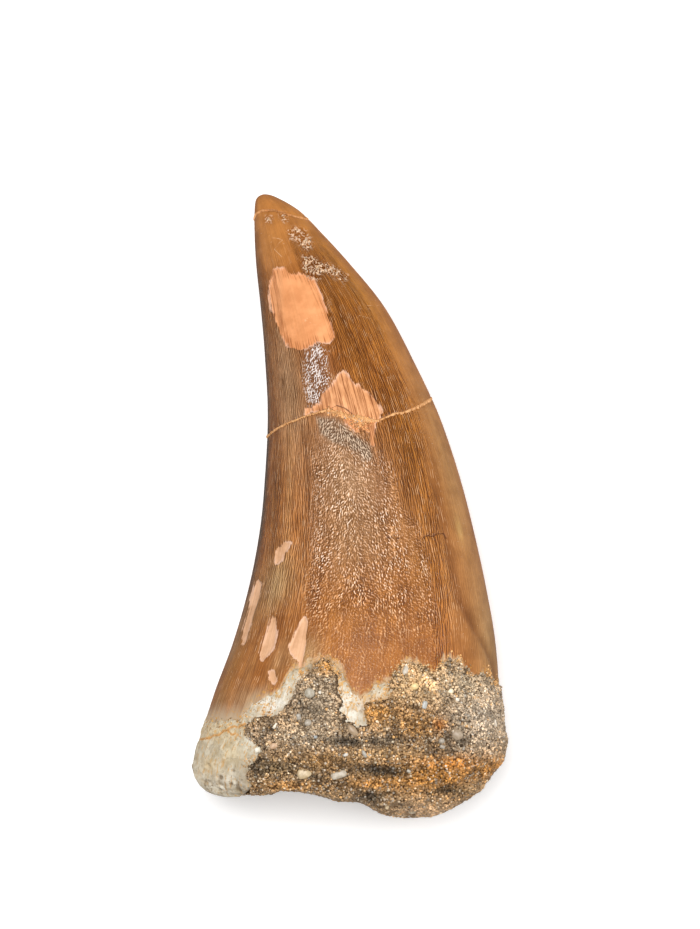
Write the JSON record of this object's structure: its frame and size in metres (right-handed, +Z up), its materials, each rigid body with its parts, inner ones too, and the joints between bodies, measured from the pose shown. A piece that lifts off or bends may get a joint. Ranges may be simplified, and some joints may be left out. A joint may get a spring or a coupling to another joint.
{
  "type": "fossil mosasaurus tooth",
  "caption": "Curved fossil marine reptile tooth lying on its side, with a broken root stub and a crust of cemented sand round its base.",
  "frame": {"origin": "middle of the bounding box at its base, on the surface that the tooth rests on", "axes": "+Y along the tooth from the broken base to the tip, +X towards the convex front edge, +Z up out of the broad face that shows"},
  "size_m": [0.0377, 0.075, 0.0254],
  "materials": {
    "tooth": "glossy fossil enamel, brown with peach dentine where it has flaked and a pale cream root",
    "matrix": "rough cemented phosphate sand with grains and small pebbles"
  },
  "bodies": {
    "root": {"tooth": "tooth", "matrix": "matrix"}
  },
  "joints": []
}
